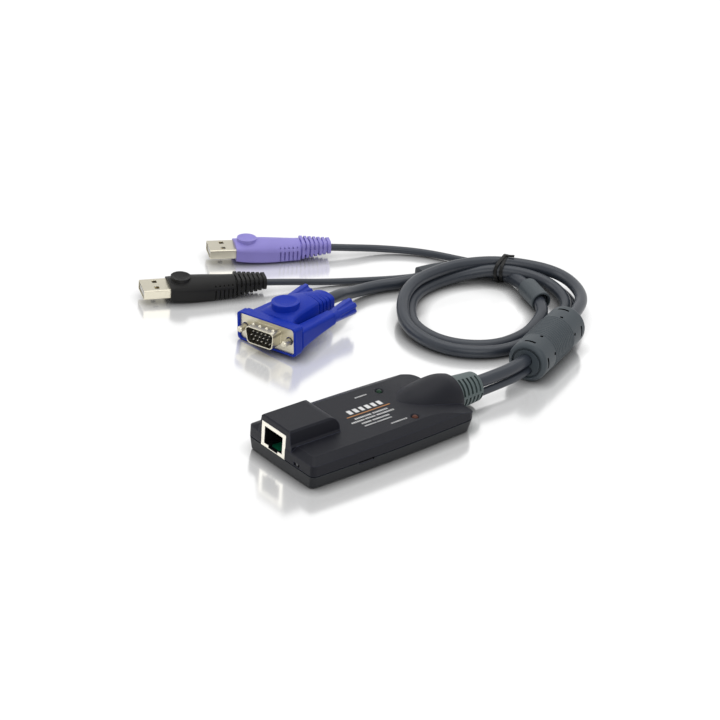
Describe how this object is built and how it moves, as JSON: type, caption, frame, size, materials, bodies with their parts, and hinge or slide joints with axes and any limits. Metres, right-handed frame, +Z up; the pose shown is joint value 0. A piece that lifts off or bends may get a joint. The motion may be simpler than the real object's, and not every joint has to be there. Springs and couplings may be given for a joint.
{
  "type": "kvm dongle",
  "caption": "Flat console adapter with a hooded network jack, two indicator lights, a looped cable with a ferrite, and USB and VGA plugs.",
  "frame": {"origin": "middle of the housing's base, on the surface it stands on, midway between its jack face and the rim over its rear wall", "axes": "+Z up, -Y out of the network jack, +Y towards the cable exit, +X to the side with the orange light and the slide switch"},
  "size_m": [0.1985, 0.217, 0.0202],
  "materials": {
    "housing_black": "fine satin moulding",
    "board_green": "solder mask",
    "chip_black": "moulded package",
    "aluminium_can": "plain can",
    "white_plastic": "moulded",
    "nickel_sheet": "nickel-plated sheet",
    "jack_plastic": "moulded",
    "gold_contact": "gold-plated",
    "switch_metal": "stamped",
    "switch_black": "moulded",
    "led_green": "tinted lens, unlit",
    "led_orange": "tinted lens, unlit",
    "relief_grey": "soft moulded vinyl",
    "ferrite_grey": "moulded with fine rings",
    "ferrite_ceramic": "sintered ceramic",
    "tie_black": "nylon",
    "cable_grey": "smooth vinyl sheath",
    "blue_plastic": "satin moulding",
    "blue_screw": "moulded knob on a metal screw",
    "black_plastic": "satin moulding",
    "purple_plastic": "satin moulding"
  },
  "bodies": {
    "dongle": {"top_cover": "housing_black", "bottom_cover": "housing_black", "circuit_board": "board_green", "main_chip": "chip_black", "video_chip": "chip_black", "memory_chip": "chip_black", "capacitors": "aluminium_can", "cable_header": "white_plastic", "rj45_shield": "nickel_sheet", "rj45_housing": "jack_plastic", "rj45_contacts": "gold_contact", "slide_switch_body": "switch_metal", "green_led": "led_green", "orange_led": "led_orange", "strain_relief": "relief_grey", "ferrite_cover": "ferrite_grey", "ferrite_core": "ferrite_ceramic", "cable_sleeve": "ferrite_grey", "cable_tie": "tie_black", "main_cable": "cable_grey", "cable_coil": "cable_grey", "inner_cable": "cable_grey", "usb_purple_cable": "cable_grey", "vga_cable": "cable_grey", "usb_black_cable": "cable_grey", "splitter": "relief_grey", "vga_shell": "nickel_sheet", "vga_insert": "jack_plastic", "vga_pins": "gold_contact", "vga_overmould": "blue_plastic", "usb_black_shell": "nickel_sheet", "usb_black_tongue": "white_plastic", "usb_black_contacts": "gold_contact", "usb_black_overmould": "black_plastic", "usb_purple_shell": "nickel_sheet", "usb_purple_tongue": "white_plastic", "usb_purple_contacts": "gold_contact", "usb_purple_overmould": "purple_plastic"},
    "switch_knob": {"slide_switch_knob": "switch_black"},
    "thumbscrew_left": {"vga_thumbscrew_left": "blue_screw"},
    "thumbscrew_right": {"vga_thumbscrew_right": "blue_screw"}
  },
  "joints": [
    {"name": "switch_slide", "type": "slide", "parent": "dongle", "child": "switch_knob", "axis": [1, 0, 0], "range_m": [-0.0011, 0.0011]},
    {"name": "thumbscrew_left_turn", "type": "hinge", "parent": "dongle", "child": "thumbscrew_left", "pos_m": [-0.09806, 0.01272, 0.00718], "axis": [-0.2249, 0.974, 0.0262], "continuous": true},
    {"name": "thumbscrew_right_turn", "type": "hinge", "parent": "dongle", "child": "thumbscrew_right", "pos_m": [-0.07374, 0.01828, 0.00892], "axis": [-0.2249, 0.974, 0.0262], "continuous": true}
  ]
}
